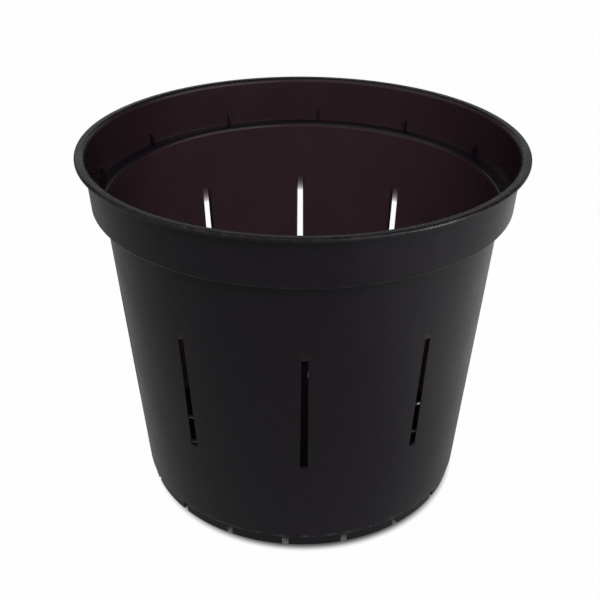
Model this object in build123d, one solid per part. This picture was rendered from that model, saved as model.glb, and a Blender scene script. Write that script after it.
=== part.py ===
from build123d import *
import os

# Slotted orchid pot: one thin polypropylene moulding, divided at its own features into solids
# that meet face to face. Sizes are in millimetres and angles in degrees. The pot's axis is Z, it
# stands on Z = 0, and angles turn from -Y towards +X, so that the first air slot faces -Y.

# Overall sizes
pot_height = 117.0  # ground to the top of the lip
rim_diameter = 140.0  # outside of the lip
base_diameter = 110.8  # outside of the wall at its lower edge
wall_thickness = 0.9  # tapered wall

# Lip and collar
lip_thickness = 1.3
lip_overhang = 2.65  # how far the lip stands out beyond the collar
lip_top_bevel = 0.3
lip_bottom_bevel = 0.7
mouth_bevel = 0.4  # inner edge at the top of the collar
collar_thickness = 0.7
collar_depth = 15.5  # top of the lip down to the ledge
collar_draft = 0.95  # how far the collar draws in towards the ledge

# Ledge between collar and wall
ledge_thickness = 0.9
ledge_bevel = 0.6  # inner edge, over the mouth of the wall
shoulder_step = 3.8  # how far the wall is set in from the collar
shoulder_bevel = 0.5  # outer edge, under the collar

# Stacking ribs, which keep nested pots from jamming
rib_count = 12
rib_height = 3.9
rib_width = 0.8
rib_foot_depth = 1.8  # along the ledge
rib_top_depth = 1.0

# Air slots
slot_count = 10
slot_top_width = 1.9
slot_bottom_width = 2.4
slot_ground_margin = 34.2  # ground to the lower end
slot_shoulder_margin = 25.7  # upper end to the shoulder
slot_run_out = 5.5  # ramp on the inner face above each slot
slot_skin = 0.15  # what is left of the wall where the ramp meets the slot

# Foot ring, floor and drains
foot_height = 3.7
foot_step = 0.8  # how far the foot is set in from the wall
foot_thickness = 1.2
heel_bevel = 0.3  # lower edge of the wall, above the foot
heel_rise = 1.2  # slope that carries the wall's inner face in to the foot
floor_lift = 0.5  # air gap under the floor
floor_thickness = 1.0
drain_count = 18
drain_width = 2.2
drain_length = 15.4  # inwards from the foot ring
notch_bridge = 0.5  # what is left of the foot ring over each notch
gate_diameter = 3.0  # mark left by the injection gate, under the floor
gate_height = 0.3

# Ribs and drains share one start angle, turned away from the first slot.
pattern_start = -6.0

# Radii and heights that several features share
rim_radius = rim_diameter / 2
collar_top_radius = rim_radius - lip_overhang
collar_bottom_radius = collar_top_radius - collar_draft
wall_top_radius = collar_bottom_radius - shoulder_step
wall_bottom_radius = base_diameter / 2
foot_radius = wall_bottom_radius - foot_step
foot_inner_radius = foot_radius - foot_thickness
lip_bottom = pot_height - lip_thickness
ledge_top = pot_height - collar_depth
shoulder = ledge_top - ledge_thickness
slot_top = shoulder - slot_shoulder_margin
heel_top = foot_height + wall_thickness
notch_height = foot_height - notch_bridge

# Upright plane through the axis and the first slot: local X is the radius, local Y the height.
radial_plane = Plane(origin=(0, 0, 0), x_dir=(0, -1, 0), z_dir=(-1, 0, 0))


def wall_radius(height):
    """Outside radius of the tapered wall."""
    rise = (height - foot_height) / (shoulder - foot_height)
    return wall_bottom_radius + rise * (wall_top_radius - wall_bottom_radius)


def collar_radius(height):
    """Outside radius of the collar."""
    rise = (height - ledge_top) / collar_depth
    return collar_bottom_radius + rise * collar_draft


def section(*corners):
    """Closed outline through (radius, height) corners."""
    return make_face(Polyline(*corners, close=True))


def bevelled(outline, corner, size):
    """Break the corner of an outline that lies at a point."""
    nearest = outline.vertices().sort_by_distance(corner)[0]
    return chamfer(nearest, size)


def turned(outline):
    """Turn an outline once round the pot's axis."""
    return revolve(radial_plane * outline, Axis.Z)


def spread(shape, count, start_angle=0.0):
    """Copies of a shape, evenly round the pot's axis."""
    return [place * shape for place in PolarLocations(0, count, start_angle)]


def make_lip():
    """Flat lip round the top of the collar, with its outer edges broken."""
    outer_top = (rim_radius, pot_height)
    outer_bottom = (rim_radius, lip_bottom)
    outline = section(
        (collar_radius(lip_bottom), lip_bottom),
        outer_bottom,
        outer_top,
        (collar_top_radius, pot_height),
    )
    outline = bevelled(outline, outer_top, lip_top_bevel)
    outline = bevelled(outline, outer_bottom, lip_bottom_bevel)
    return turned(outline)


def make_collar():
    """Upright band from the ledge to the mouth, drawn in a little towards the ledge."""
    mouth_edge = (collar_top_radius - collar_thickness, pot_height)
    outline = section(
        (collar_bottom_radius - collar_thickness, ledge_top),
        (collar_bottom_radius, ledge_top),
        (collar_top_radius, pot_height),
        mouth_edge,
    )
    return turned(bevelled(outline, mouth_edge, mouth_bevel))


def make_ledge():
    """Flat ring that steps in from the collar to the wall."""
    inner_radius = wall_top_radius - wall_thickness
    inner_top = (inner_radius, ledge_top)
    outer_bottom = (collar_bottom_radius, shoulder)
    outline = section(
        (inner_radius, shoulder),
        outer_bottom,
        (collar_bottom_radius, ledge_top),
        inner_top,
    )
    outline = bevelled(outline, inner_top, ledge_bevel)
    outline = bevelled(outline, outer_bottom, shoulder_bevel)
    return turned(outline)


def make_ribs(collar):
    """Upright fins on the ledge, each cut to the inner face of the collar."""
    rib_top = ledge_top + rib_height
    root_radius = collar_bottom_radius - collar_thickness
    mid_wall = collar_thickness / 2
    outline = section(
        (collar_bottom_radius - mid_wall, ledge_top),
        (root_radius - rib_foot_depth, ledge_top),
        (root_radius - rib_top_depth, rib_top),
        (collar_radius(rib_top) - mid_wall, rib_top),
    )
    fin = extrude(radial_plane * outline, rib_width / 2, both=True) - collar
    return spread(fin, rib_count, pattern_start)


def make_slot_cutter():
    """Air slot, wider towards its lower end, with a ramp that runs out on the inner face above it."""
    run_out_top = slot_top + slot_run_out
    inside = wall_radius(slot_ground_margin) - 2 * wall_thickness
    side_view = section(
        (inside, slot_ground_margin),
        (rim_radius, slot_ground_margin),
        (rim_radius, slot_top),
        (wall_radius(slot_top) - slot_skin, slot_top),
        (wall_radius(run_out_top) - wall_thickness, run_out_top),
        (inside, run_out_top),
    )
    front_view = section(
        (-slot_bottom_width / 2, slot_ground_margin),
        (slot_bottom_width / 2, slot_ground_margin),
        (slot_top_width / 2, slot_top),
        (slot_top_width / 2, run_out_top),
        (-slot_top_width / 2, run_out_top),
        (-slot_top_width / 2, slot_top),
    )
    depth = extrude(radial_plane * side_view, slot_bottom_width, both=True)
    return depth & extrude(Plane.XZ * front_view, rim_radius)


def make_wall():
    """Tapered wall with its air slots, carried in at the heel to stand on the foot ring."""
    slope_top = heel_top + heel_rise
    outer_bottom = (wall_bottom_radius, foot_height)
    outline = section(
        (foot_inner_radius, foot_height),
        outer_bottom,
        (wall_top_radius, shoulder),
        (wall_top_radius - wall_thickness, shoulder),
        (wall_radius(slope_top) - wall_thickness, slope_top),
        (foot_inner_radius, heel_top),
    )
    outline = bevelled(outline, outer_bottom, heel_bevel)
    return turned(outline) - spread(make_slot_cutter(), slot_count)


def make_drain_cutters():
    """Radial drains with a round inner end, which run out through the foot ring."""
    inner_end = foot_inner_radius - drain_length + drain_width / 2
    outer_end = wall_bottom_radius + wall_thickness
    straight = Rectangle(drain_width, outer_end - inner_end)
    plan = Pos(0, -(inner_end + outer_end) / 2) * straight + Pos(0, -inner_end) * Circle(drain_width / 2)
    below_ground = Plane.XY.offset(-floor_thickness)
    cutter = extrude(below_ground * plan, notch_height + floor_thickness)
    return spread(cutter, drain_count, pattern_start)


def make_foot(drains):
    """Low ring that the pot stands on, notched where each drain runs out."""
    outline = section(
        (foot_inner_radius, 0),
        (foot_radius, 0),
        (foot_radius, foot_height),
        (foot_inner_radius, foot_height),
    )
    return turned(outline) - drains


def make_floor(drains):
    """Floor inside the foot ring, with its drains and the mark of the injection gate below."""
    from_bottom = (Align.CENTER, Align.CENTER, Align.MIN)
    disc = Pos(0, 0, floor_lift) * Cylinder(foot_inner_radius, floor_thickness, align=from_bottom)
    gate_bottom = floor_lift - gate_height
    gate = Pos(0, 0, gate_bottom) * Cylinder(gate_diameter / 2, gate_height, align=from_bottom)
    return disc - drains + gate


rim_collar = make_collar()
drain_cutters = make_drain_cutters()
nodes = {
    "rim_lip": make_lip(),
    "rim_collar": rim_collar,
    "stacking_ribs": Compound(children=make_ribs(rim_collar)),
    "shoulder_ledge": make_ledge(),
    "slotted_wall": make_wall(),
    "base_floor": make_floor(drain_cutters),
    "foot_ring": make_foot(drain_cutters),
}

os.makedirs("parts", exist_ok=True)
for name, shape in nodes.items():
    export_step(shape, f"parts/{name}.step")
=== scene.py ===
# %% [markdown]
# # A slotted orchid pot
# The real pot is one thin injection moulding in black polypropylene: a flat lip, an upright collar,
# a ledge with stacking ribs, a tapered wall with air slots, and a drained floor on a notched foot.
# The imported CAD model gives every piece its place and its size, but its faces are coarse and flat.
# So each CAD node gets a finer mesh of the same form here, and that mesh is placed by the node.

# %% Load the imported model
from math import acos, asin, cos, e, pi, radians, sin, sqrt

import bpy
from mathutils import Matrix, Vector


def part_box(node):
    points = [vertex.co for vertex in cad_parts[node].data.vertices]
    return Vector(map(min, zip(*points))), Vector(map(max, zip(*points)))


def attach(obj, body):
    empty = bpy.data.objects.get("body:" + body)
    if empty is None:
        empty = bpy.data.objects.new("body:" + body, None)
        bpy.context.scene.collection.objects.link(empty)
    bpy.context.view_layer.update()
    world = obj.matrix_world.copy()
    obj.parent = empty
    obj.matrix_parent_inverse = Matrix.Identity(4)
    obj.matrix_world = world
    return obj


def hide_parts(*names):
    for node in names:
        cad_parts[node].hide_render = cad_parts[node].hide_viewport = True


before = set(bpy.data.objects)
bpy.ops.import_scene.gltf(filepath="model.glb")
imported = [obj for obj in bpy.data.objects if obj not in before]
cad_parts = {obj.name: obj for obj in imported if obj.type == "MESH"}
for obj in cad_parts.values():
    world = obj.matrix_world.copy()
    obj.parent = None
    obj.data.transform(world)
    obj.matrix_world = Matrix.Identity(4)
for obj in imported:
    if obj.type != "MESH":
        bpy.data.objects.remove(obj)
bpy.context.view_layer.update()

# %% [markdown]
# ## Sizes
# Blender works in metres, and a pot is easier to think about in millimetres, so every size below is
# written in millimetres times MM. Radii and heights that a node's box shows are read from the frame.
# A box is taken at its lowest Y, because the CAD's round faces start there and touch the true circle.

# %% Sizes read from the frame
MM = 0.001


def outside_radius(node):
    """Largest radius of a round CAD node."""
    return -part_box(node)[0].y


def low_and_high(node):
    """Lowest and highest Z of a CAD node."""
    low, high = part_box(node)
    return low.z, high.z


rim_radius = outside_radius("rim_lip")
collar_top_radius = outside_radius("rim_collar")
collar_foot_radius = outside_radius("shoulder_ledge")
wall_top_radius = outside_radius("slotted_wall")
foot_radius = outside_radius("foot_ring")
floor_radius = outside_radius("base_floor")
lip_bottom, pot_top = low_and_high("rim_lip")
shoulder, ledge_top = low_and_high("shoulder_ledge")
rib_top = low_and_high("stacking_ribs")[1]
foot_top = low_and_high("foot_ring")[1]
gate_bottom, floor_top = low_and_high("base_floor")
wall_thickness = 0.9 * MM
collar_thickness = 0.7 * MM
print("radius in mm: rim", round(rim_radius / MM, 2), "and wall top", round(wall_top_radius / MM, 2))

# %% [markdown]
# ## Nodes and colours without repetition
# A node tree, for a material or for geometry, is a list of nodes with settings and links. One small
# function adds any node: settings are the node's own properties, and each input gets a value, the
# socket that feeds it, or a node whose first output feeds it. Colours are written as the hex digits
# that a paint program shows, and a second function turns them into the linear light of Blender.

# %% One function for any node and one for colours
def add_node(tree, kind, inputs=None, **settings):
    """Add a node with its settings, and set or link its inputs by name or number."""
    node = tree.nodes.new(kind)
    for name, value in settings.items():
        setattr(node, name, value)
    for key, value in (inputs or {}).items():
        if isinstance(value, bpy.types.Node):
            value = value.outputs[0]
        if isinstance(value, bpy.types.NodeSocket):
            tree.links.new(value, node.inputs[key])
        else:
            node.inputs[key].default_value = value
    return node


def linear(hex_colour):
    """Linear RGBA of an sRGB colour written as six hex digits."""
    shares = [int(hex_colour[i : i + 2], 16) / 255 for i in (0, 2, 4)]
    return [s / 12.92 if s <= 0.04045 else ((s + 0.055) / 1.055) ** 2.4 for s in shares] + [1.0]


print("mid grey in linear light:", round(linear("808080")[0], 3))

# %% [markdown]
# ## Black polypropylene, as moulded
# Nursery pots are polypropylene with a little carbon black. The tool's surface leaves a satin skin
# with a fine grain and faint turning marks round the pot. Three things keep it from looking like a
# flat black. The pigment is slightly mottled, handling leaves smudges and pale scuffs where an edge
# sticks out, and the thin wall lets a trace of red light through, so its inner face looks like dark
# wine. That wine is a colour here, because light that really passed the wall would need many more
# samples. An image could hold all the marks, but noise needs no file and stays sharp close up. The
# grain, about 0.35 mm on a real pot, would be finer than a pixel and is drawn three times as coarse.
# The geometry stores two attributes for this finish. One lies on thin faces that look towards the axis
# and carries the wine, which is painted light: it stands for the light that passes the wall. The other
# lies on rounded edges and carries wear, most of all on the wall's lower edge, which rubs on benches;
# there it is also a painted highlight, the pale line that the rounded edge catches. Where a piece has
# no such attribute, it reads as zero.

# %% The polypropylene finish
outside_colours = linear("0c080d"), linear("18121a")
# Wine on inner faces: painted light, standing for the red light that passes the thin wall
painted_through_light_colours = linear("34242a"), linear("3c2b31")
# Pale scuffs on edges; on the wall's lower edge this colour is also a painted highlight
scuff_and_heel_highlight_colour = linear("353335")
dust_colour = linear("6e6c6a")
grain_size = 1.0 * MM
grain_depth = 0.008 * MM
turning_mark_pitch = 1.3 * MM
turning_mark_length = 60 * MM
turning_mark_depth = 0.025 * MM
smudge_size = 22 * MM
scuff_size = 2.5 * MM
scuff_noise = 0.45, 0.75  # noise from no scuff to a full one
scuff_strength = 0.6
dust_spacing = 13 * MM
dust_size = 0.3 * MM
dust_strength = 0.35
grain_noise = 0.3, 0.7  # noise at which the roughness is least and most
smudge_noise = 0.35, 0.7
satin_roughness = 0.23, 0.31
handled_roughness = -0.03, 0.05  # what hands add to the satin
refraction = 1.49
specular_level = 0.28  # a frosted skin mirrors less than a polished one


def polypropylene(name):
    """Satin black polypropylene with grain, turning marks, smudges, scuffs and a little dust."""
    material = bpy.data.materials.new(name)
    material.use_nodes = True
    tree = material.node_tree
    shader = tree.nodes["Principled BSDF"]
    place = add_node(tree, "ShaderNodeTexCoord").outputs["Object"]
    painted_through_light = add_node(tree, "ShaderNodeAttribute", attribute_name="painted_through_light").outputs["Fac"]
    edge_wear_and_heel_highlight = add_node(tree, "ShaderNodeAttribute", attribute_name="edge_wear_and_heel_highlight").outputs["Fac"]

    # Noise in three sizes, and a fourth that is stretched round the pot
    stretch = (1 / turning_mark_length, 1 / turning_mark_length, 1 / turning_mark_pitch)
    along = add_node(tree, "ShaderNodeMapping", {"Vector": place, "Scale": stretch})
    noises = [
        add_node(tree, "ShaderNodeTexNoise", {"Vector": where, "Scale": 1 / size, "Detail": detail})
        for where, size, detail in (
            (place, grain_size, 2.0),
            (place, smudge_size, 4.0),
            (place, scuff_size, 3.0),
            (along, 1.0, 2.0),
        )
    ]
    grain, smudges, scuffs, marks = [noise.outputs["Fac"] for noise in noises]

    # Where an edge is scuffed, and where a speck of dust lies; on the wall's lower edge the scuff is also
    # a painted highlight
    least, most = scuff_noise
    patches = add_node(
        tree,
        "ShaderNodeMapRange",
        {"Value": scuffs, "From Min": least, "From Max": most, "To Max": scuff_strength},
    )
    worn = add_node(tree, "ShaderNodeMath", {0: edge_wear_and_heel_highlight, 1: patches}, operation="MULTIPLY")
    cells = add_node(tree, "ShaderNodeTexVoronoi", {"Vector": place, "Scale": 1 / dust_spacing})
    speck = add_node(
        tree,
        "ShaderNodeMath",
        {0: cells.outputs["Distance"], 1: dust_size / 2 / dust_spacing},
        operation="LESS_THAN",
    )
    dust = add_node(tree, "ShaderNodeMath", {0: speck, 1: dust_strength}, operation="MULTIPLY")

    # Colour: mottled black, then the painted wine of light through the wall on inner faces, then scuffs
    # and dust over both
    colour, inside = [
        add_node(tree, "ShaderNodeMix", {0: noise, 6: dark, 7: pale}, data_type="RGBA").outputs[2]
        for noise, (dark, pale) in ((scuffs, outside_colours), (smudges, painted_through_light_colours))
    ]
    layers = (painted_through_light, inside), (worn, scuff_and_heel_highlight_colour), (dust, dust_colour)
    for share, layer in layers:
        mixed = add_node(tree, "ShaderNodeMix", {0: share, 6: colour, 7: layer}, data_type="RGBA")
        colour = mixed.outputs[2]
    tree.links.new(colour, shader.inputs["Base Color"])

    # Gloss: satin, a little duller where the grain stands up and where hands have been
    parts = (grain, grain_noise, satin_roughness), (smudges, smudge_noise, handled_roughness)
    satin, handled = [
        add_node(
            tree,
            "ShaderNodeMapRange",
            {"Value": noise, "From Min": low, "From Max": high, "To Min": least, "To Max": most},
        )
        for noise, (low, high), (least, most) in parts
    ]
    gloss = add_node(tree, "ShaderNodeMath", {0: satin, 1: handled}, operation="ADD")
    tree.links.new(gloss.outputs[0], shader.inputs["Roughness"])
    shader.inputs["IOR"].default_value = refraction
    shader.inputs["Specular IOR Level"].default_value = specular_level

    # Relief: grain first, then the turning marks over it
    grained = add_node(
        tree, "ShaderNodeBump", {"Height": grain, "Strength": 1.0, "Distance": grain_depth}
    )
    turned = add_node(
        tree,
        "ShaderNodeBump",
        {"Height": marks, "Strength": 1.0, "Distance": turning_mark_depth, "Normal": grained},
    )
    tree.links.new(turned.outputs[0], shader.inputs["Normal"])
    return material


black_polypropylene = polypropylene("satin_black_polypropylene_moulded")
print("finish:", black_polypropylene.name, len(black_polypropylene.node_tree.nodes), "nodes")

# %% [markdown]
# ## The thin skin above each slot
# Above each slot the inner face is cut back in a ramp, so the wall thins to an edge like a feather
# where the slot ends and has its full thickness a few millimetres higher. Light fades out along that
# ramp. An Alpha could fade the plastic, but it would fade its shine as well, and thin plastic shines
# like thick plastic: it only has less pigment to show. So the body colour fades to black, and a
# Transparent shader is added, as strong as the light that plastic of that depth lets through. The
# light passes two faces, the ramp and the outside, so each one stops half of it. Black plastic stops
# a little more blue and green than red, which tints what passes.

# %% The thin polypropylene finish
slot_shoulder_margin = 25.7 * MM
slot_top = shoulder - slot_shoulder_margin
ramp_height = 5.5 * MM
thinnest_skin = 0.03 * MM
stopped_per_metre = 5.0 / MM
skin_tint = linear("fffafa")


def thin_polypropylene(name):
    """The same plastic, with light passing where it is thin, from the slot's end up the ramp."""
    material = polypropylene(name)
    tree = material.node_tree
    place = add_node(tree, "ShaderNodeTexCoord").outputs["Object"]
    height = add_node(tree, "ShaderNodeSeparateXYZ", {0: place}).outputs["Z"]
    depth = add_node(
        tree,
        "ShaderNodeMapRange",
        {
            "Value": height,
            "From Min": slot_top,
            "From Max": slot_top + ramp_height,
            "To Min": thinnest_skin * stopped_per_metre / 2,
            "To Max": wall_thickness * stopped_per_metre / 2,
        },
    )
    passed = add_node(tree, "ShaderNodeMath", {0: 1 / e, 1: depth}, operation="POWER")
    plastic = tree.nodes["Principled BSDF"]
    body_colour = plastic.inputs["Base Color"].links[0].from_socket
    black = (0, 0, 0, 1)
    faded = add_node(tree, "ShaderNodeMix", {0: passed, 6: body_colour, 7: black}, data_type="RGBA")
    tree.links.new(faded.outputs[2], plastic.inputs["Base Color"])
    light = add_node(tree, "ShaderNodeMix", {0: passed, 6: black, 7: skin_tint}, data_type="RGBA")
    through = add_node(tree, "ShaderNodeBsdfTransparent", {"Color": light.outputs[2]})
    both = add_node(tree, "ShaderNodeAddShader", {0: plastic, 1: through})
    tree.links.new(both.outputs[0], tree.nodes["Material Output"].inputs["Surface"])
    return material


thin_skin_polypropylene = thin_polypropylene("thin_black_polypropylene_moulded")
print("finish:", thin_skin_polypropylene.name)

# %% [markdown]
# ## A geometry tree that turns an outline
# The lip, the collar and the ledge are rings: one outline carried once round the axis. The outline is
# drawn as a loop of edges at its real radius and height, and each corner carries its own rounding.
# The Screw modifier could turn it too, but a tree can round the corners first, keep the corners'
# attributes, and mark worn edges and inner faces by rule. Curve to Mesh carries a profile that lies
# flat, with X pointing outwards and Y pointing down, so the outline is laid flat before the sweep.

# %% Tree: outline turned round the axis
sharp_angle = radians(30)
wear_angles = radians(1.5), radians(6)  # bends between mesh faces, from no wear to full wear
inner_facing = -0.5, -0.9  # cosine between a face and the radius, from no mark to a full one


def new_tree(name, sizes):
    """An empty geometry tree with a geometry input and output, and named inputs for its sizes."""
    tree = bpy.data.node_groups.new(name, "GeometryNodeTree")
    tree.interface.new_socket("Geometry", in_out="INPUT", socket_type="NodeSocketGeometry")
    sockets = {**sizes, "Through Light Share": "Float", "Material": "Material", "Thin Material": "Material"}
    for socket_name, kind in sockets.items():
        tree.interface.new_socket(socket_name, in_out="INPUT", socket_type="NodeSocket" + kind)
    tree.interface.new_socket("Geometry", in_out="OUTPUT", socket_type="NodeSocketGeometry")
    return tree, add_node(tree, "NodeGroupInput").outputs


def finish_tree(tree, given, geometry):
    """Mark inner faces, shade by angle, realize and set the materials, then end the tree."""
    # Inner faces look towards the axis, and the painted wine of light through the wall comes on gradually
    # as a face turns that way
    position = add_node(tree, "GeometryNodeInputPosition")
    flat = add_node(tree, "ShaderNodeVectorMath", {0: position, 1: (1, 1, 0)}, operation="MULTIPLY")
    radial = add_node(tree, "ShaderNodeVectorMath", {0: flat}, operation="NORMALIZE")
    normal = add_node(tree, "GeometryNodeInputNormal")
    facing = add_node(
        tree, "ShaderNodeVectorMath", {0: normal, 1: radial}, operation="DOT_PRODUCT"
    ).outputs["Value"]
    none, full = inner_facing
    inwards = add_node(
        tree,
        "ShaderNodeMapRange",
        {"Value": facing, "From Min": none, "From Max": full, "To Max": given["Through Light Share"]},
    )
    marked = add_node(
        tree,
        "GeometryNodeStoreNamedAttribute",
        {"Geometry": geometry, "Name": "painted_through_light", "Value": inwards},
        domain="FACE",
    )

    # Smooth faces, with sharp edges where two faces meet at a clear angle
    smooth = add_node(tree, "GeometryNodeSetShadeSmooth", {"Geometry": marked})
    angle = add_node(tree, "GeometryNodeInputMeshEdgeAngle").outputs["Unsigned Angle"]
    corner = add_node(tree, "ShaderNodeMath", {0: angle, 1: sharp_angle}, operation="GREATER_THAN")
    shaded = add_node(
        tree,
        "GeometryNodeSetShadeSmooth",
        {"Geometry": smooth, "Selection": corner, "Shade Smooth": False},
        domain="EDGE",
    )

    # One material everywhere, and the thin one on the faces that the starting mesh marks
    real = add_node(tree, "GeometryNodeRealizeInstances", {"Geometry": shaded})
    painted = add_node(
        tree, "GeometryNodeSetMaterial", {"Geometry": real, "Material": given["Material"]}
    )
    thin = add_node(
        tree, "GeometryNodeInputNamedAttribute", {"Name": "thin_skin"}, data_type="BOOLEAN"
    ).outputs["Attribute"]
    skinned = add_node(
        tree,
        "GeometryNodeSetMaterial",
        {"Geometry": painted, "Selection": thin, "Material": given["Thin Material"]},
    )
    add_node(tree, "NodeGroupOutput", {0: skinned})


def turned_outline_tree():
    """Tree that rounds the corners of an outline and turns it round the axis."""
    tree, given = new_tree(
        "outline_turned_round_axis",
        {"Spine Radius": "Float", "Segments": "Int", "Corner Points": "Int"},
    )
    position = add_node(tree, "GeometryNodeInputPosition")
    corner = add_node(tree, "ShaderNodeSeparateXYZ", {0: position}).outputs
    outwards = add_node(
        tree, "ShaderNodeMath", {0: corner["X"], 1: given["Spine Radius"]}, operation="SUBTRACT"
    )
    down = add_node(tree, "ShaderNodeMath", {0: corner["Z"], 1: -1.0}, operation="MULTIPLY")
    flat = add_node(tree, "ShaderNodeCombineXYZ", {0: outwards, 1: down})
    laid = add_node(tree, "GeometryNodeSetPosition", {"Geometry": given["Geometry"], "Position": flat})
    loop = add_node(tree, "GeometryNodeMeshToCurve", {"Mesh": laid})
    rounding = add_node(
        tree, "GeometryNodeInputNamedAttribute", {"Name": "rounding"}, data_type="FLOAT"
    ).outputs["Attribute"]
    rounded = add_node(
        tree,
        "GeometryNodeFilletCurve",
        {"Curve": loop, "Count": given["Corner Points"], "Radius": rounding},
        mode="POLY",
    )
    spine = add_node(
        tree,
        "GeometryNodeCurvePrimitiveCircle",
        {"Resolution": given["Segments"], "Radius": given["Spine Radius"]},
    )
    ring = add_node(tree, "GeometryNodeCurveToMesh", {"Curve": spine, "Profile Curve": rounded})
    angle = add_node(tree, "GeometryNodeInputMeshEdgeAngle").outputs["Unsigned Angle"]
    least, most = wear_angles
    bent = add_node(tree, "ShaderNodeMapRange", {"Value": angle, "From Min": least, "From Max": most})
    exposed = add_node(tree, "ShaderNodeMath", {0: rounding, 1: 0.0}, operation="GREATER_THAN")
    wear = add_node(tree, "ShaderNodeMath", {0: bent, 1: exposed}, operation="MULTIPLY")
    worn = add_node(
        tree,
        "GeometryNodeStoreNamedAttribute",
        {"Geometry": ring, "Name": "edge_wear_and_heel_highlight", "Value": wear},
        domain="POINT",
    )
    finish_tree(tree, given, worn)
    return tree


turn_outline = turned_outline_tree()
print("tree:", turn_outline.name, len(turn_outline.nodes), "nodes")

# %% [markdown]
# ## A geometry tree that repeats a segment
# Ribs, slots, drains and notches each come back at an even angle, so one segment is modelled and the
# tree sets copies of it round the axis. Neighbouring copies share their edge points, which Merge by
# Distance joins into one closed body. The Array modifier could do it with a turned empty, but the
# tree needs no helper object and takes the count and the start angle as plain numbers.

# %% Tree: segment repeated round the axis
def repeated_segment_tree():
    """Tree that sets copies of a segment evenly round the axis and joins them."""
    tree, given = new_tree(
        "segment_repeated_round_axis",
        {"Copies": "Int", "Start Angle": "Float", "Joint Gap": "Float"},
    )
    centres = add_node(tree, "GeometryNodePoints", {"Count": given["Copies"]})
    index = add_node(tree, "GeometryNodeInputIndex")
    step = add_node(tree, "ShaderNodeMath", {0: 2 * pi, 1: given["Copies"]}, operation="DIVIDE")
    turn = add_node(
        tree, "ShaderNodeMath", {0: index, 1: step, 2: given["Start Angle"]}, operation="MULTIPLY_ADD"
    )
    rotation = add_node(tree, "FunctionNodeAxisAngleToRotation", {"Axis": (0, 0, 1), "Angle": turn})
    copies = add_node(
        tree,
        "GeometryNodeInstanceOnPoints",
        {"Points": centres, "Instance": given["Geometry"], "Rotation": rotation},
    )
    real = add_node(tree, "GeometryNodeRealizeInstances", {"Geometry": copies})
    joined = add_node(
        tree, "GeometryNodeMergeByDistance", {"Geometry": real, "Distance": given["Joint Gap"]}
    )
    finish_tree(tree, given, joined)
    return tree


repeat_segment = repeated_segment_tree()
print("tree:", repeat_segment.name, len(repeat_segment.nodes), "nodes")

# %% [markdown]
# ## From a tree to a finished piece
# A piece starts as a small mesh, the tree makes the whole of it, and a Bevel breaks the edges where
# the piece needs it. Weighted normals keep large flat faces flat beside their rounded edges. The
# evaluated result is then kept as a plain mesh, rides on the pot's only body and stands for its node.

# %% Making a piece
bevel_steps = 3
bevel_angle = radians(40)  # only edges sharper than this are broken


def new_mesh(name, points, edges=(), faces=()):
    """Mesh of points with edges or faces between them."""
    mesh = bpy.data.meshes.new(name)
    mesh.from_pydata(points, edges, faces)
    return mesh


def new_object(name, data):
    """Object in the scene with a mesh, lamp or camera."""
    thing = bpy.data.objects.new(name, data)
    bpy.context.scene.collection.objects.link(thing)
    return thing


def run_tree(name, mesh, tree, values, edge_bevel=0.0):
    """Object with the evaluated result of a tree on a starting mesh."""
    piece = new_object(name, mesh)
    values = {"Material": black_polypropylene, "Thin Material": thin_skin_polypropylene, **values}
    modifier = piece.modifiers.new("tree", "NODES")
    modifier.node_group = tree
    for socket in tree.interface.items_tree:
        if socket.in_out == "INPUT" and socket.name in values:
            modifier[socket.identifier] = values[socket.name]
    if edge_bevel:
        bevel = piece.modifiers.new("broken edges", "BEVEL")
        bevel.width = edge_bevel
        bevel.segments = bevel_steps
        bevel.limit_method = "ANGLE"
        bevel.angle_limit = bevel_angle
    weighted = piece.modifiers.new("flat faces", "WEIGHTED_NORMAL")
    weighted.keep_sharp = True
    evaluated = piece.evaluated_get(bpy.context.evaluated_depsgraph_get())
    finished = bpy.data.meshes.new_from_object(evaluated)
    piece.modifiers.clear()
    piece.data = finished
    finished.name = name
    used = {face.material_index for face in finished.polygons}
    for unused in sorted(set(range(len(finished.materials))) - used, reverse=True):
        finished.materials.pop(index=unused)
    return piece


def stand_for(piece, node):
    """Let a piece ride on the pot and stand for its CAD node."""
    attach(piece, "root")
    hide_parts(node)
    print(piece.name, "stands for", node, "with", len(piece.data.polygons), "faces")


print("broken edges get", bevel_steps, "steps")

# %% [markdown]
# ## Lip, collar and ledge
# Each of the three rings is one turned outline. Exposed corners get the small radius that a moulding
# tool leaves. Corners where two pieces meet stay sharp, so that no groove shows there. Where one piece
# bends into the next, as the collar does into the lip and the wall into the ledge, a Bevel would round
# each piece by itself. So the bend is a row of corners on one arc, and the seam lies on it. Corners are
# listed as radius, height and rounding, from the inner bottom corner up, outwards and down.

# %% Three turned rings
ring_segments = 360
corner_points = 7
lip_top_rounding = 0.65 * MM
lip_bottom_rounding = 0.5 * MM
shoulder_rounding = 0.7 * MM
collar_through_light_share = 0.72  # the painted wine of light through the wall is a little weaker on the collar than on the wall


def ring_outline(name, corners):
    """Closed loop of edges through corners of radius, height and rounding."""
    points = [(radius, 0, height) for radius, height, rounding in corners]
    sides = [(i, (i + 1) % len(points)) for i in range(len(points))]
    mesh = new_mesh(name, points, edges=sides)
    roundings = mesh.attributes.new("rounding", "FLOAT", "POINT")
    for i, (radius, height, rounding) in enumerate(corners):
        roundings.data[i].value = rounding
    return mesh


def turned_ring(name, corners, node, through_light_share=0.0):
    """Ring turned from an outline, standing for a CAD node."""
    sizes = {"Spine Radius": rim_radius, "Segments": ring_segments, "Corner Points": corner_points}
    ring = run_tree(name, ring_outline(name, corners), turn_outline, {**sizes, "Through Light Share": through_light_share})
    stand_for(ring, node)


def collar_radius(height):
    """Outside radius of the collar, which draws in towards the ledge."""
    rise = (height - ledge_top) / (pot_top - ledge_top)
    return collar_foot_radius + rise * (collar_top_radius - collar_foot_radius)


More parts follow.
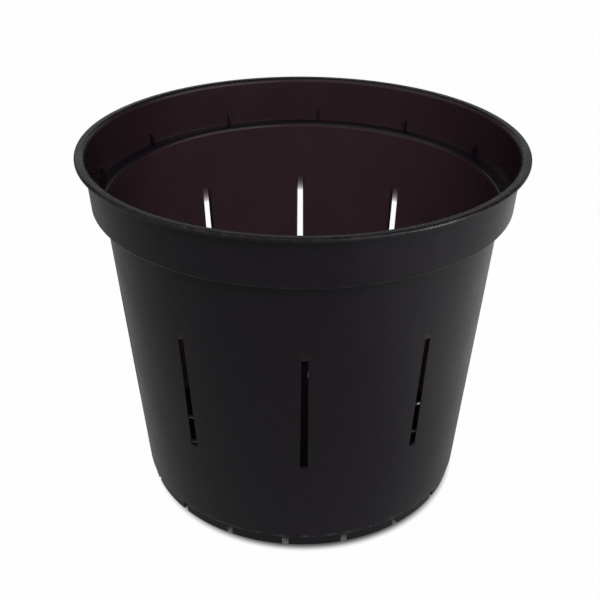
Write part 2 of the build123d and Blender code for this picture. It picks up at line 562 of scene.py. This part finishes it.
def evenly(start, end, steps):
    """Values from start to end, both included, in even steps."""
    return [start + (end - start) * i / steps for i in range(steps + 1)]


def bend(centre, radius, start, end, steps):
    """Corners on an arc that turns from an upright inner face (0) to a flat top (a quarter turn)."""
    turns = evenly(start, end, steps)
    return [(centre[0] - radius * cos(t), centre[1] + radius * sin(t), 0) for t in turns]


# The collar bends outwards into the lip, and the seam of the two pieces lies on that bend
mouth_bend_radius = 1.5 * MM
mouth_radius = collar_top_radius - collar_thickness
mouth_centre = mouth_radius + mouth_bend_radius, pot_top - mouth_bend_radius
seam_turn = acos((mouth_centre[0] - collar_top_radius) / mouth_bend_radius)
turned_ring(
    "lip_ring",
    [(collar_radius(lip_bottom), lip_bottom, 0)]
    + bend(mouth_centre, mouth_bend_radius, seam_turn, pi / 2, steps=2)
    + [(rim_radius, pot_top, lip_top_rounding), (rim_radius, lip_bottom, lip_bottom_rounding)],
    "rim_lip",
)
turned_ring(
    "collar_band",
    [(collar_foot_radius - collar_thickness, ledge_top, 0)]
    + bend(mouth_centre, mouth_bend_radius, 0, seam_turn, steps=6)
    + [(collar_foot_radius, ledge_top, 0)],
    "rim_collar",
    through_light_share=collar_through_light_share,
)

# The wall's inner face bends outwards into the ledge, and their seam lies on that bend
ledge_bend_radius = 1.5 * MM
ledge_bend_start = ledge_top - ledge_bend_radius
ledge_centre = wall_top_radius - wall_thickness + ledge_bend_radius, ledge_bend_start
ledge_seam_turn = asin((shoulder - ledge_bend_start) / ledge_bend_radius)
turned_ring(
    "ledge_ring",
    bend(ledge_centre, ledge_bend_radius, ledge_seam_turn, pi / 2, steps=10)
    + [(collar_foot_radius, ledge_top, 0), (collar_foot_radius, shoulder, shoulder_rounding)],
    "shoulder_ledge",
)

# %% [markdown]
# ## Stacking ribs
# Twelve small fins stand on the ledge against the collar. They keep a nested pot from jamming. One
# fin is a box with a slanted inner face, drawn a hair into the collar so that no gap shows, and a
# Bevel rounds its edges as a moulding tool would.

# %% Ribs
rib_count = 12
rib_half_width = 0.4 * MM
rib_foot_depth = 1.8 * MM
rib_top_depth = 1.0 * MM
pattern_start = radians(-6)
hidden_overlap = 0.15 * MM
edge_break = 0.12 * MM
joint_gap = 0.001 * MM


def repeated_ring(name, segment, node, copies, start_angle=0.0, through_light_share=0.0, edge_bevel=0.0):
    """Copies of a segment round the axis, standing for a CAD node."""
    sizes = {"Copies": copies, "Start Angle": start_angle, "Joint Gap": joint_gap, "Through Light Share": through_light_share}
    ring = run_tree(name, segment, repeat_segment, sizes, edge_bevel)
    stand_for(ring, node)


def stacking_rib():
    """One fin at the front of the pot, from the ledge up, against the collar's inner face."""
    foot_back = collar_radius(ledge_top) - collar_thickness
    top_back = collar_radius(rib_top) - collar_thickness
    side = [
        (foot_back - rib_foot_depth, ledge_top - hidden_overlap),
        (foot_back + hidden_overlap, ledge_top - hidden_overlap),
        (top_back + hidden_overlap, rib_top),
        (foot_back - rib_top_depth, rib_top),
    ]
    sides = -rib_half_width, rib_half_width
    points = [(x, -radius, height) for x in sides for radius, height in side]
    faces = [(0, 1, 2, 3), (7, 6, 5, 4)]
    faces += [(i + 4, (i + 1) % 4 + 4, (i + 1) % 4, i) for i in range(4)]
    return new_mesh("rib", points, faces=faces)


repeated_ring(
    "rib_row", stacking_rib(), "stacking_ribs", rib_count, pattern_start, edge_bevel=edge_break
)

# %% [markdown]
# ## The slotted wall
# The wall is a tapered tube with ten air slots, each a little wider at its lower end and run out as a
# ramp on the inner face above its upper end. Cutting slots with a Boolean leaves long thin triangles
# that shade badly. So one bay is built row by row, from a slot to the next, with the slot's edges as
# columns of the mesh, and the tree sets ten bays round the axis.

# %% Wall sizes
slot_count = 10
bay_angle = 2 * pi / slot_count
wall_foot_radius = 55.4 * MM
slot_bottom = 34.2 * MM
slot_top_half_width = 1.0 * MM
slot_bottom_half_width = 1.2 * MM
slot_draft = 0.6 * MM  # how much farther out each side of the slot lies on the inner face
ramp_top = slot_top + ramp_height
heel_round = 0.45 * MM
heel_wear_and_highlight = 6.0  # the lower edge rubs on benches, so it is worn harder than other edges, and this also paints the highlight line of that rounded edge
heel_top = foot_top + wall_thickness
heel_rise = 1.2 * MM  # slope that carries the inner face in to the foot
slope_top = heel_top + heel_rise
lowest_row = heel_top + heel_rise / 2
land_columns = 28


def wall_radius(height):
    """Outside radius of the tapered wall."""
    rise = (height - foot_top) / (shoulder - foot_top)
    return wall_foot_radius + rise * (wall_top_radius - wall_foot_radius)


def bent_out(height):
    """How far the bend under the ledge has carried the wall's inner face outwards at a height."""
    climb = max(height - ledge_bend_start, 0)
    return ledge_bend_radius - sqrt(ledge_bend_radius**2 - climb**2)


def slot_half_width(height):
    """Half the slot's width, held constant beyond its ends."""
    rise = min(max((height - slot_bottom) / (slot_top - slot_bottom), 0), 1)
    return slot_bottom_half_width + rise * (slot_top_half_width - slot_bottom_half_width)


def even_steps(start, end, count):
    """Heights from start up to, but not including, end."""
    return evenly(start, end, count)[:-1]


def at_angle(radius, angle, height):
    """Point on the pot, with angles turned from -Y towards +X."""
    return radius * sin(angle), -radius * cos(angle), height


print("wall radius in mm:", round(wall_top_radius / MM, 1), "to", round(wall_foot_radius / MM, 1))

# %% [markdown]
# ## One bay of the wall
# A row of points runs from one slot to the next at one height, and its first two points are the edges
# of the slot. The outside and the inside are each a chain of rows from the foot up, and faces join a
# row to the one above it, except where the slot is. Inner rows start a little farther from the slot's
# middle, as the tapered blade of a moulding tool leaves them. The ramp is a third, shorter chain that
# leans from the outside to the inside. The faces on it and outside it are marked as thin skin, and the
# tree gives those the finish that light passes.

# %% One bay of the wall
def wall_bay():
    """A bay from one slot's left edge to the next slot's left edge, with faces that look outwards."""
    points, faces, thin_faces = [], [], []

    def row(radius, height, draft=0.0, columns=land_columns):
        """Indices of a row of points: the slot's two edges, then the land up to the next slot."""
        edge = asin((slot_half_width(height) + draft) / radius)
        land = bay_angle - 2 * edge
        angles = [-edge] + [edge + land * i / columns for i in range(columns + 1)]
        points.extend(at_angle(radius, angle, height) for angle in angles)
        return list(range(len(points) - len(angles), len(points)))

    def wall_face(*corners, thin=False):
        """Add a face, and note whether it belongs to the thin skin."""
        faces.append(corners)
        thin_faces.append(thin)

    left, right, last = 0, 1, -1  # a row's points at the slot's edges and at the next slot's left edge

    def both_sides(*rows):
        """Add a face at the slot's right edge, a corner on each row, and its mirror at the next slot."""
        mirrored = rows[1::-1] + rows[:1:-1]
        wall_face(*dict.fromkeys(line[right] for line in rows))
        wall_face(*dict.fromkeys(line[last] for line in mirrored))

    # Heights of the rows, and the two chains of radius and height that they lie on. The slope at the
    # heel takes the place of the inner chain's lowest row
    lower = even_steps(lowest_row, slot_bottom, count=6)
    slotted = even_steps(slot_bottom, slot_top, count=10)
    ramped = even_steps(slot_top, ramp_top, count=4)
    upper = even_steps(ramp_top, ledge_bend_start, count=4)
    bent = even_steps(ledge_bend_start, shoulder, count=3) + [shoulder]
    from_slot = slotted + ramped + upper + bent
    heights = lower + from_slot
    heel_centre = wall_radius(foot_top + heel_round) - heel_round, foot_top + heel_round
    turns = evenly(-pi / 2, 0, steps=4)
    heel = [(heel_centre[0] + heel_round * cos(t), heel_centre[1] + heel_round * sin(t)) for t in turns]
    outside = heel + [(wall_radius(z), z) for z in heights]
    inside = [(floor_radius, foot_top), (floor_radius, heel_top)]
    inside += [(wall_radius(z) - wall_thickness + bent_out(z), z) for z in [slope_top] + heights[1:]]
    outer = [row(radius, height) for radius, height in outside]
    inner = [row(radius, height, slot_draft) for radius, height in inside]

    # Skins, left open where the slot is
    for chain, rows, is_inner in ((outside, outer, False), (inside, inner, True)):
        for j in range(len(rows) - 1):
            height = chain[j][1]
            for i in range(land_columns + 1):
                if i == 0 and (height in slotted or (is_inner and height in ramped)):
                    continue
                quad = rows[j][i], rows[j][i + 1], rows[j + 1][i + 1], rows[j + 1][i]
                thin = i == 0 and height in ramped
                wall_face(*(quad[::-1] if is_inner else quad), thin=thin)

    # Closed top and bottom
    for i in range(land_columns + 1):
        wall_face(outer[-1][i], outer[-1][i + 1], inner[-1][i + 1], inner[-1][i])
        wall_face(inner[0][i], inner[0][i + 1], outer[0][i + 1], outer[0][i])

    # The ramp, from the thin skin at the slot's end out to the inner face
    out_rows = outer[-len(from_slot) :]
    in_rows = inner[-len(from_slot) :]
    end = len(slotted)
    skins = even_steps(thinnest_skin, wall_thickness, len(ramped))
    ramp = [
        row(wall_radius(z) - skin, z, slot_draft * skin / wall_thickness, columns=1)
        for z, skin in zip(ramped, skins)
    ]
    ramp.append(in_rows[end + len(ramped)])
    for k in range(len(ramped)):
        wall_face(ramp[k][right], ramp[k][left], ramp[k + 1][left], ramp[k + 1][right], thin=True)
        # The topmost sides are triangles, because the ramp's last row is the inner face's own
        both_sides(in_rows[end + k], ramp[k], ramp[k + 1], in_rows[end + k + 1])

    # Side faces and ends of the slot
    for j in range(end):
        beside = [in_rows[j], out_rows[j], out_rows[j + 1], in_rows[j + 1]]
        if j == end - 1:
            beside.insert(3, ramp[0])
        both_sides(*beside)
    wall_face(out_rows[0][left], out_rows[0][right], in_rows[0][right], in_rows[0][left])
    wall_face(out_rows[end][left], ramp[0][left], ramp[0][right], out_rows[end][right])

    mesh = new_mesh("bay", points, faces=faces)
    wear = mesh.attributes.new("edge_wear_and_heel_highlight", "FLOAT", "POINT")
    # The heel's outer rows carry the raised wear, which also paints the pale highlight of the rounded
    # lower edge
    for i in sum(outer[: len(heel)], []):
        wear.data[i].value = heel_wear_and_highlight
    skin_marks = mesh.attributes.new("thin_skin", "BOOLEAN", "FACE")
    skin_marks.data.foreach_set("value", thin_faces)
    return mesh


# The wall's inner faces get the full painted wine of light through the wall
repeated_ring("wall_bays", wall_bay(), "slotted_wall", slot_count, through_light_share=1.0)

# %% [markdown]
# ## The drained floor
# The floor is a flat disc with eighteen radial drains that run out through the foot, and under its
# centre is the small round mark of the injection gate. One wedge holds one drain, so the drain's
# round inner end and straight sides are edges of the mesh, and the tree sets eighteen wedges.

# %% Drained floor
drain_count = 18
wedge_angle = 2 * pi / drain_count
drain_half_width = 1.0 * MM
drain_length = 15.4 * MM
drain_end_radius = floor_radius - drain_length + drain_half_width
drain_margin = 1.5 * MM  # plain floor between the drains' ends and the next ring of the mesh
ring_shares = 0.35, 0.7, 1.0  # rings of the mesh, as shares of the way out to that ring
foot_thickness = 2.0 * MM  # the floor ends at the foot ring
foot_inner_radius = foot_radius - foot_thickness
floor_bottom = 0.5 * MM
gate_radius = 1.5 * MM
arc_steps = 4


def floor_arc(radius, start, end, steps=arc_steps):
    """Places (x, y) on an arc round the axis."""
    return [at_angle(radius, angle, 0)[:2] for angle in evenly(start, end, steps)]


def floor_wedge():
    """A wedge of the floor with its drain in the middle, closed above, below and round the drain."""
    half = wedge_angle / 2
    points, faces = [], []
    found = {}

    def point(x, y, z):
        """Index of a point, the same for the same place."""
        key = round(x, 9), round(y, 9), round(z, 9)
        if key not in found:
            found[key] = len(points)
            points.append((x, y, z))
        return found[key]

    def plate(outline):
        """The same outline as a face on top of the floor and a face under it."""
        faces.append([point(x, y, floor_top) for x, y in outline])
        faces.append([point(x, y, floor_bottom) for x, y in outline[::-1]])

    def upright(line, low, high):
        """Faces from low to high along a line that has the floor on its left."""
        for start, end in zip(line, line[1:]):
            faces.append([point(*start, low), point(*end, low), point(*end, high), point(*start, high)])

    # Rings from the gate mark out to the drains
    inner_edge = drain_end_radius - drain_half_width - drain_margin
    radii = [gate_radius] + [share * inner_edge for share in ring_shares]
    for near, far in zip(radii, radii[1:]):
        near_arc = floor_arc(near, -half, half)
        far_arc = floor_arc(far, -half, half)
        for i in range(arc_steps):
            plate([near_arc[i], far_arc[i], far_arc[i + 1], near_arc[i + 1]])

    # The centre, with the gate mark below
    gate_arc = floor_arc(gate_radius, -half, half)
    for start, end in zip(gate_arc, gate_arc[1:]):
        faces.append([point(0, 0, floor_top), point(*start, floor_top), point(*end, floor_top)])
        faces.append([point(0, 0, gate_bottom), point(*end, gate_bottom), point(*start, gate_bottom)])
    upright(gate_arc, gate_bottom, floor_bottom)

    # Both sides of the drain, mirrored about its centre line
    mouth = asin(drain_half_width / foot_inner_radius)
    turns = evenly(pi / 2, 0, steps=6)
    round_end = [
        (drain_half_width * cos(t), -drain_end_radius + drain_half_width * sin(t)) for t in turns
    ]
    rim = floor_arc(foot_inner_radius, mouth, half)
    near_arc = floor_arc(inner_edge, half, 0, arc_steps // 2)
    right_side = near_arc + round_end + rim
    plate([(-x, y) for x, y in right_side[::-1]])
    plate(right_side)
    drain_side = round_end + rim[:1]
    for line in (drain_side, rim):
        upright(line, floor_bottom, floor_top)
        upright([(-x, y) for x, y in line[::-1]], floor_bottom, floor_top)

    return new_mesh("wedge", points, faces=faces)


repeated_ring("drained_floor", floor_wedge(), "base_floor", drain_count, pattern_start)

# %% [markdown]
# ## The notched foot
# The pot stands on a low ring, and each drain runs out through a notch in it, so the ring looks like
# a row of small blocks under a bridge. A notch could be cut with a Boolean, but a segment with a notch
# in its middle is only a few faces and repeats cleanly. The ring is thicker inwards than the CAD's,
# because notches that are seen from the side look dark, as they do in a thick ring.

# %% Notched foot
notch_bridge = 1.1 * MM
notch_top = foot_top - notch_bridge
block_columns = 3


def foot_segment():
    """A segment of the foot ring with a notch in its middle, closed all round."""
    half = wedge_angle / 2
    levels = 0.0, notch_top, foot_top
    points, faces = [], []

    def ring_points(radius):
        """Indices by level and column: a block, the notch between the middle columns, a block."""
        edge = asin(drain_half_width / radius)
        right_angles = evenly(edge, half, block_columns)
        angles = [-angle for angle in right_angles[::-1]] + right_angles
        rows = []
        for level in levels:
            rows.append(range(len(points), len(points) + len(angles)))
            points.extend(at_angle(radius, angle, level) for angle in angles)
        return rows

    outer = ring_points(foot_radius)
    inner = ring_points(foot_inner_radius)
    for i in range(2 * block_columns + 1):
        over_notch = i == block_columns
        for low, high in ((0, 1), (1, 2)):
            if over_notch and low == 0:
                continue
            faces.append((outer[low][i], outer[low][i + 1], outer[high][i + 1], outer[high][i]))
            faces.append((inner[low][i + 1], inner[low][i], inner[high][i], inner[high][i + 1]))
        faces.append((outer[2][i], outer[2][i + 1], inner[2][i + 1], inner[2][i]))
        under = 1 if over_notch else 0
        faces.append((inner[under][i], inner[under][i + 1], outer[under][i + 1], outer[under][i]))
    left, right = block_columns, block_columns + 1
    faces.append((outer[0][left], inner[0][left], inner[1][left], outer[1][left]))
    faces.append((inner[0][right], outer[0][right], outer[1][right], inner[1][right]))
    return new_mesh("foot_segment", points, faces=faces)


repeated_ring(
    "notched_foot", foot_segment(), "foot_ring", drain_count, pattern_start, edge_bevel=edge_break
)

# %% [markdown]
# ## Studio floor
# The floor is a plain pale sheet that takes the pot's soft shadow. For rays from the camera and through
# clear things it also glows, so that it comes out white without more light on the pot, and the world
# does the same above the horizon. Right at the foot the glow fades, because there the real sheet lies
# in the pot's contact shadow, mostly in front of it. In reflections the sheet glows only a little, and
# more at the right, where a lamp stands: a satin black shows mostly what it mirrors, and a white floor
# would turn it grey.

# %% Studio floor
def ray_kinds(tree):
    """Two inputs: 1 for rays that look at the background, and 1 for rays in reflections."""
    path = add_node(tree, "ShaderNodeLightPath").outputs
    looking = add_node(
        tree,
        "ShaderNodeMath",
        {0: path["Is Camera Ray"], 1: path["Is Transmission Ray"]},
        operation="MAXIMUM",
    )
    return looking, path["Is Glossy Ray"]


def fade(tree, value, ends, levels):
    """Node that goes smoothly from one level to the other while a value goes from end to end."""
    (start, end), (low, high) = ends, levels
    inputs = {"Value": value, "From Min": start, "From Max": end, "To Min": low, "To Max": high}
    return add_node(tree, "ShaderNodeMapRange", inputs, interpolation_type="SMOOTHSTEP")


shadow_centre = 0.5 * MM, -3.2 * MM, 0.0
shadow_edge = 51.4 * MM, 54.7 * MM  # distances from that centre, from shadow to plain sheet
glow_seen = 0.03, 0.985  # in the shadow and on the plain sheet
glow_mirrored = 0.28, 0.5  # at the left and at the right
glow_turn = 50 * MM, 150 * MM  # places along X between which the one goes over into the other
sheet_grey = linear("606060")
white = linear("ffffff")


def pale_sheet():
    """Matt white sheet that takes a shadow and looks white where it is lit."""
    material = bpy.data.materials.new("matt_white_sheet")
    material.use_nodes = True
    tree = material.node_tree
    tree.nodes.clear()
    looking, mirrored = ray_kinds(tree)
    lit = add_node(tree, "ShaderNodeBsdfDiffuse", {"Color": sheet_grey})
    glow = add_node(tree, "ShaderNodeEmission", {"Color": white, "Strength": 1.0})
    place = add_node(tree, "ShaderNodeTexCoord").outputs["Object"]
    apart = add_node(tree, "ShaderNodeVectorMath", {0: place, 1: shadow_centre}, operation="DISTANCE")
    around = fade(tree, apart.outputs["Value"], shadow_edge, glow_seen)
    seen = add_node(tree, "ShaderNodeMath", {0: looking, 1: around}, operation="MULTIPLY")
    across = add_node(tree, "ShaderNodeSeparateXYZ", {0: place}).outputs["X"]
    reflected = fade(tree, across, glow_turn, glow_mirrored)
    share = add_node(
        tree, "ShaderNodeMath", {0: mirrored, 1: reflected, 2: seen}, operation="MULTIPLY_ADD"
    )
    sheet = add_node(tree, "ShaderNodeMixShader", {0: share, 1: lit, 2: glow})
    add_node(tree, "ShaderNodeOutputMaterial", {"Surface": sheet})
    return material


sheet_half = 3.0  # metres
sheet_corners = [(x * sheet_half, y * sheet_half, 0) for x, y in ((-1, -1), (1, -1), (1, 1), (-1, 1))]
sheet_mesh = new_mesh("studio_floor", sheet_corners, faces=[(0, 1, 2, 3)])
sheet_mesh.materials.append(pale_sheet())
studio_floor = new_object("studio_floor", sheet_mesh)
print("studio floor", 2 * sheet_half, "m wide")

# %% [markdown]
# ## The room
# The room is drawn for what the plastic mirrors. The lip is flat and mirrors the room behind the pot
# at a low angle. There the room has a bright strip, as a white wall behind a table gives, and it draws
# the pale crescents on the lip. A window at the right brightens that side of the wall, and a soft patch
# at the upper left stands for the front lamp, whose own mirror image would have hard edges. The rest of
# the room is dim, so rounded edges beside the crescents stay dark. The world shows plain white to the
# camera, the room to reflections, and a little even light to all else.

# %% World
room_light = 0.06
room_seen = 0.08
strip_seen = 1.2
strip_fade = 1.19  # what the strip's upper edge takes away again
strip_bottom = 14.0, 18.0  # degrees above the horizon, from dark to bright
strip_top = 19.5, 23.0  # degrees above the horizon, from bright to dark
strip_side = 0.55, 0.85  # share of a direction that points straight back, from dark to bright
window_way = 0.74, -0.578, 0.342
window_edge = 45.0, 25.0  # degrees away from the middle, from dark to bright
window_seen = 1.6
front_way = -0.6, -0.42, 0.681
front_edge = 60.0, 30.0  # degrees away from the middle, from dark to bright
front_seen = 0.65

world = bpy.data.worlds.new("studio")
world.use_nodes = True
bpy.context.scene.world = world
sky = world.node_tree
way = add_node(sky, "ShaderNodeTexCoord").outputs["Generated"]
back_and_up = add_node(sky, "ShaderNodeSeparateXYZ", {0: way}).outputs
rising = fade(sky, back_and_up["Z"], [sin(radians(angle)) for angle in strip_bottom], (0, strip_seen))
falling = fade(sky, back_and_up["Z"], [sin(radians(angle)) for angle in strip_top], (0, strip_fade))
behind = fade(sky, back_and_up["Y"], strip_side, (0, 1))
strip = add_node(sky, "ShaderNodeMath", {0: rising, 1: falling}, operation="SUBTRACT")
room = add_node(sky, "ShaderNodeMath", {0: strip, 1: behind, 2: room_seen}, operation="MULTIPLY_ADD")
for centre, edge, seen in ((window_way, window_edge, window_seen), (front_way, front_edge, front_seen)):
    nearness = add_node(sky, "ShaderNodeVectorMath", {0: way, 1: centre}, operation="DOT_PRODUCT")
    patch = fade(sky, nearness.outputs["Value"], [cos(radians(angle)) for angle in edge], (0, seen))
    room = add_node(sky, "ShaderNodeMath", {0: room, 1: patch}, operation="ADD")
looking, mirrored = ray_kinds(sky)
unseen = add_node(sky, "ShaderNodeMapRange", {"Value": mirrored, "To Min": room_light, "To Max": room})
strength = add_node(sky, "ShaderNodeMapRange", {"Value": looking, "To Min": unseen, "To Max": 1.0})
sky.links.new(strength.outputs[0], sky.nodes["Background"].inputs["Strength"])
sky.nodes["Background"].inputs["Color"].default_value = white
print("room mirrored at", room_seen, "and its window at", window_seen)

# %% [markdown]
# ## Soft boxes
# A square soft box in front and above lights the outside and looks into the mouth. It is hidden from
# reflections, where the room's soft patch takes its place. A low one at the right stays below the lip,
# so it draws the lip's edge and lights the right of the wall without shining into the pot.

# %% Soft boxes
look_at = Vector((0, 0, (pot_top + foot_top) / 2))


def soft_box(name, azimuth, elevation, distance, width, height, watts, mirrored=True):
    """Area lamp that looks at the pot, azimuth turned from the front towards +X."""
    lamp = bpy.data.lights.new(name, "AREA")
    lamp.shape = "RECTANGLE"
    lamp.size = width
    lamp.size_y = height
    lamp.energy = watts
    box = new_object(name, lamp)
    turn, lift = radians(azimuth), radians(elevation)
    away = Vector((sin(turn) * cos(lift), -cos(turn) * cos(lift), sin(lift)))
    box.location = look_at + distance * away
    box.rotation_mode = "QUATERNION"
    box.rotation_quaternion = away.to_track_quat("Z", "Y")
    box.visible_camera = False
    box.visible_glossy = mirrored
    print(name, watts, "W at", azimuth, "degrees")


soft_box(
    "front_box", azimuth=2, elevation=48, distance=1.0, width=0.45, height=0.45, watts=7.6, mirrored=False
)
soft_box("right_box", azimuth=62, elevation=0, distance=0.9, width=0.3, height=0.1, watts=3.2)

# %% [markdown]
# ## Camera
# The camera was fitted to the photograph: its distance, lift, lens and small roll are those at which
# the rim, the slots and the foot fall on their places there.

# %% Camera
camera_distance = 319.08 * MM
camera_elevation = radians(29.735)
camera_roll = radians(0.279)
camera_turn = radians(-0.738)
camera_target = Vector((-0.668, 0, 59.816)) * MM
sensor_width = 36.0
focal_length = 55.976

away = Vector((0, -cos(camera_elevation), sin(camera_elevation)))
level_up = Vector((0, sin(camera_elevation), cos(camera_elevation)))
level_right = Vector((1, 0, 0))
right = cos(camera_roll) * level_right + sin(camera_roll) * level_up
up = -sin(camera_roll) * level_right + cos(camera_roll) * level_up
stand = camera_target + camera_distance * away
facing = Matrix((right, up, away)).transposed().to_4x4()

lens = bpy.data.cameras.new("camera")
lens.sensor_width = sensor_width
lens.lens = focal_length
lens.clip_start = 10 * MM
camera = new_object("camera", lens)
camera.matrix_world = Matrix.Rotation(camera_turn, 4, "Z") @ Matrix.Translation(stand) @ facing
bpy.context.scene.camera = camera
bpy.context.scene.view_settings.view_transform = "Standard"
print("camera at", [round(value, 4) for value in camera.matrix_world.translation])
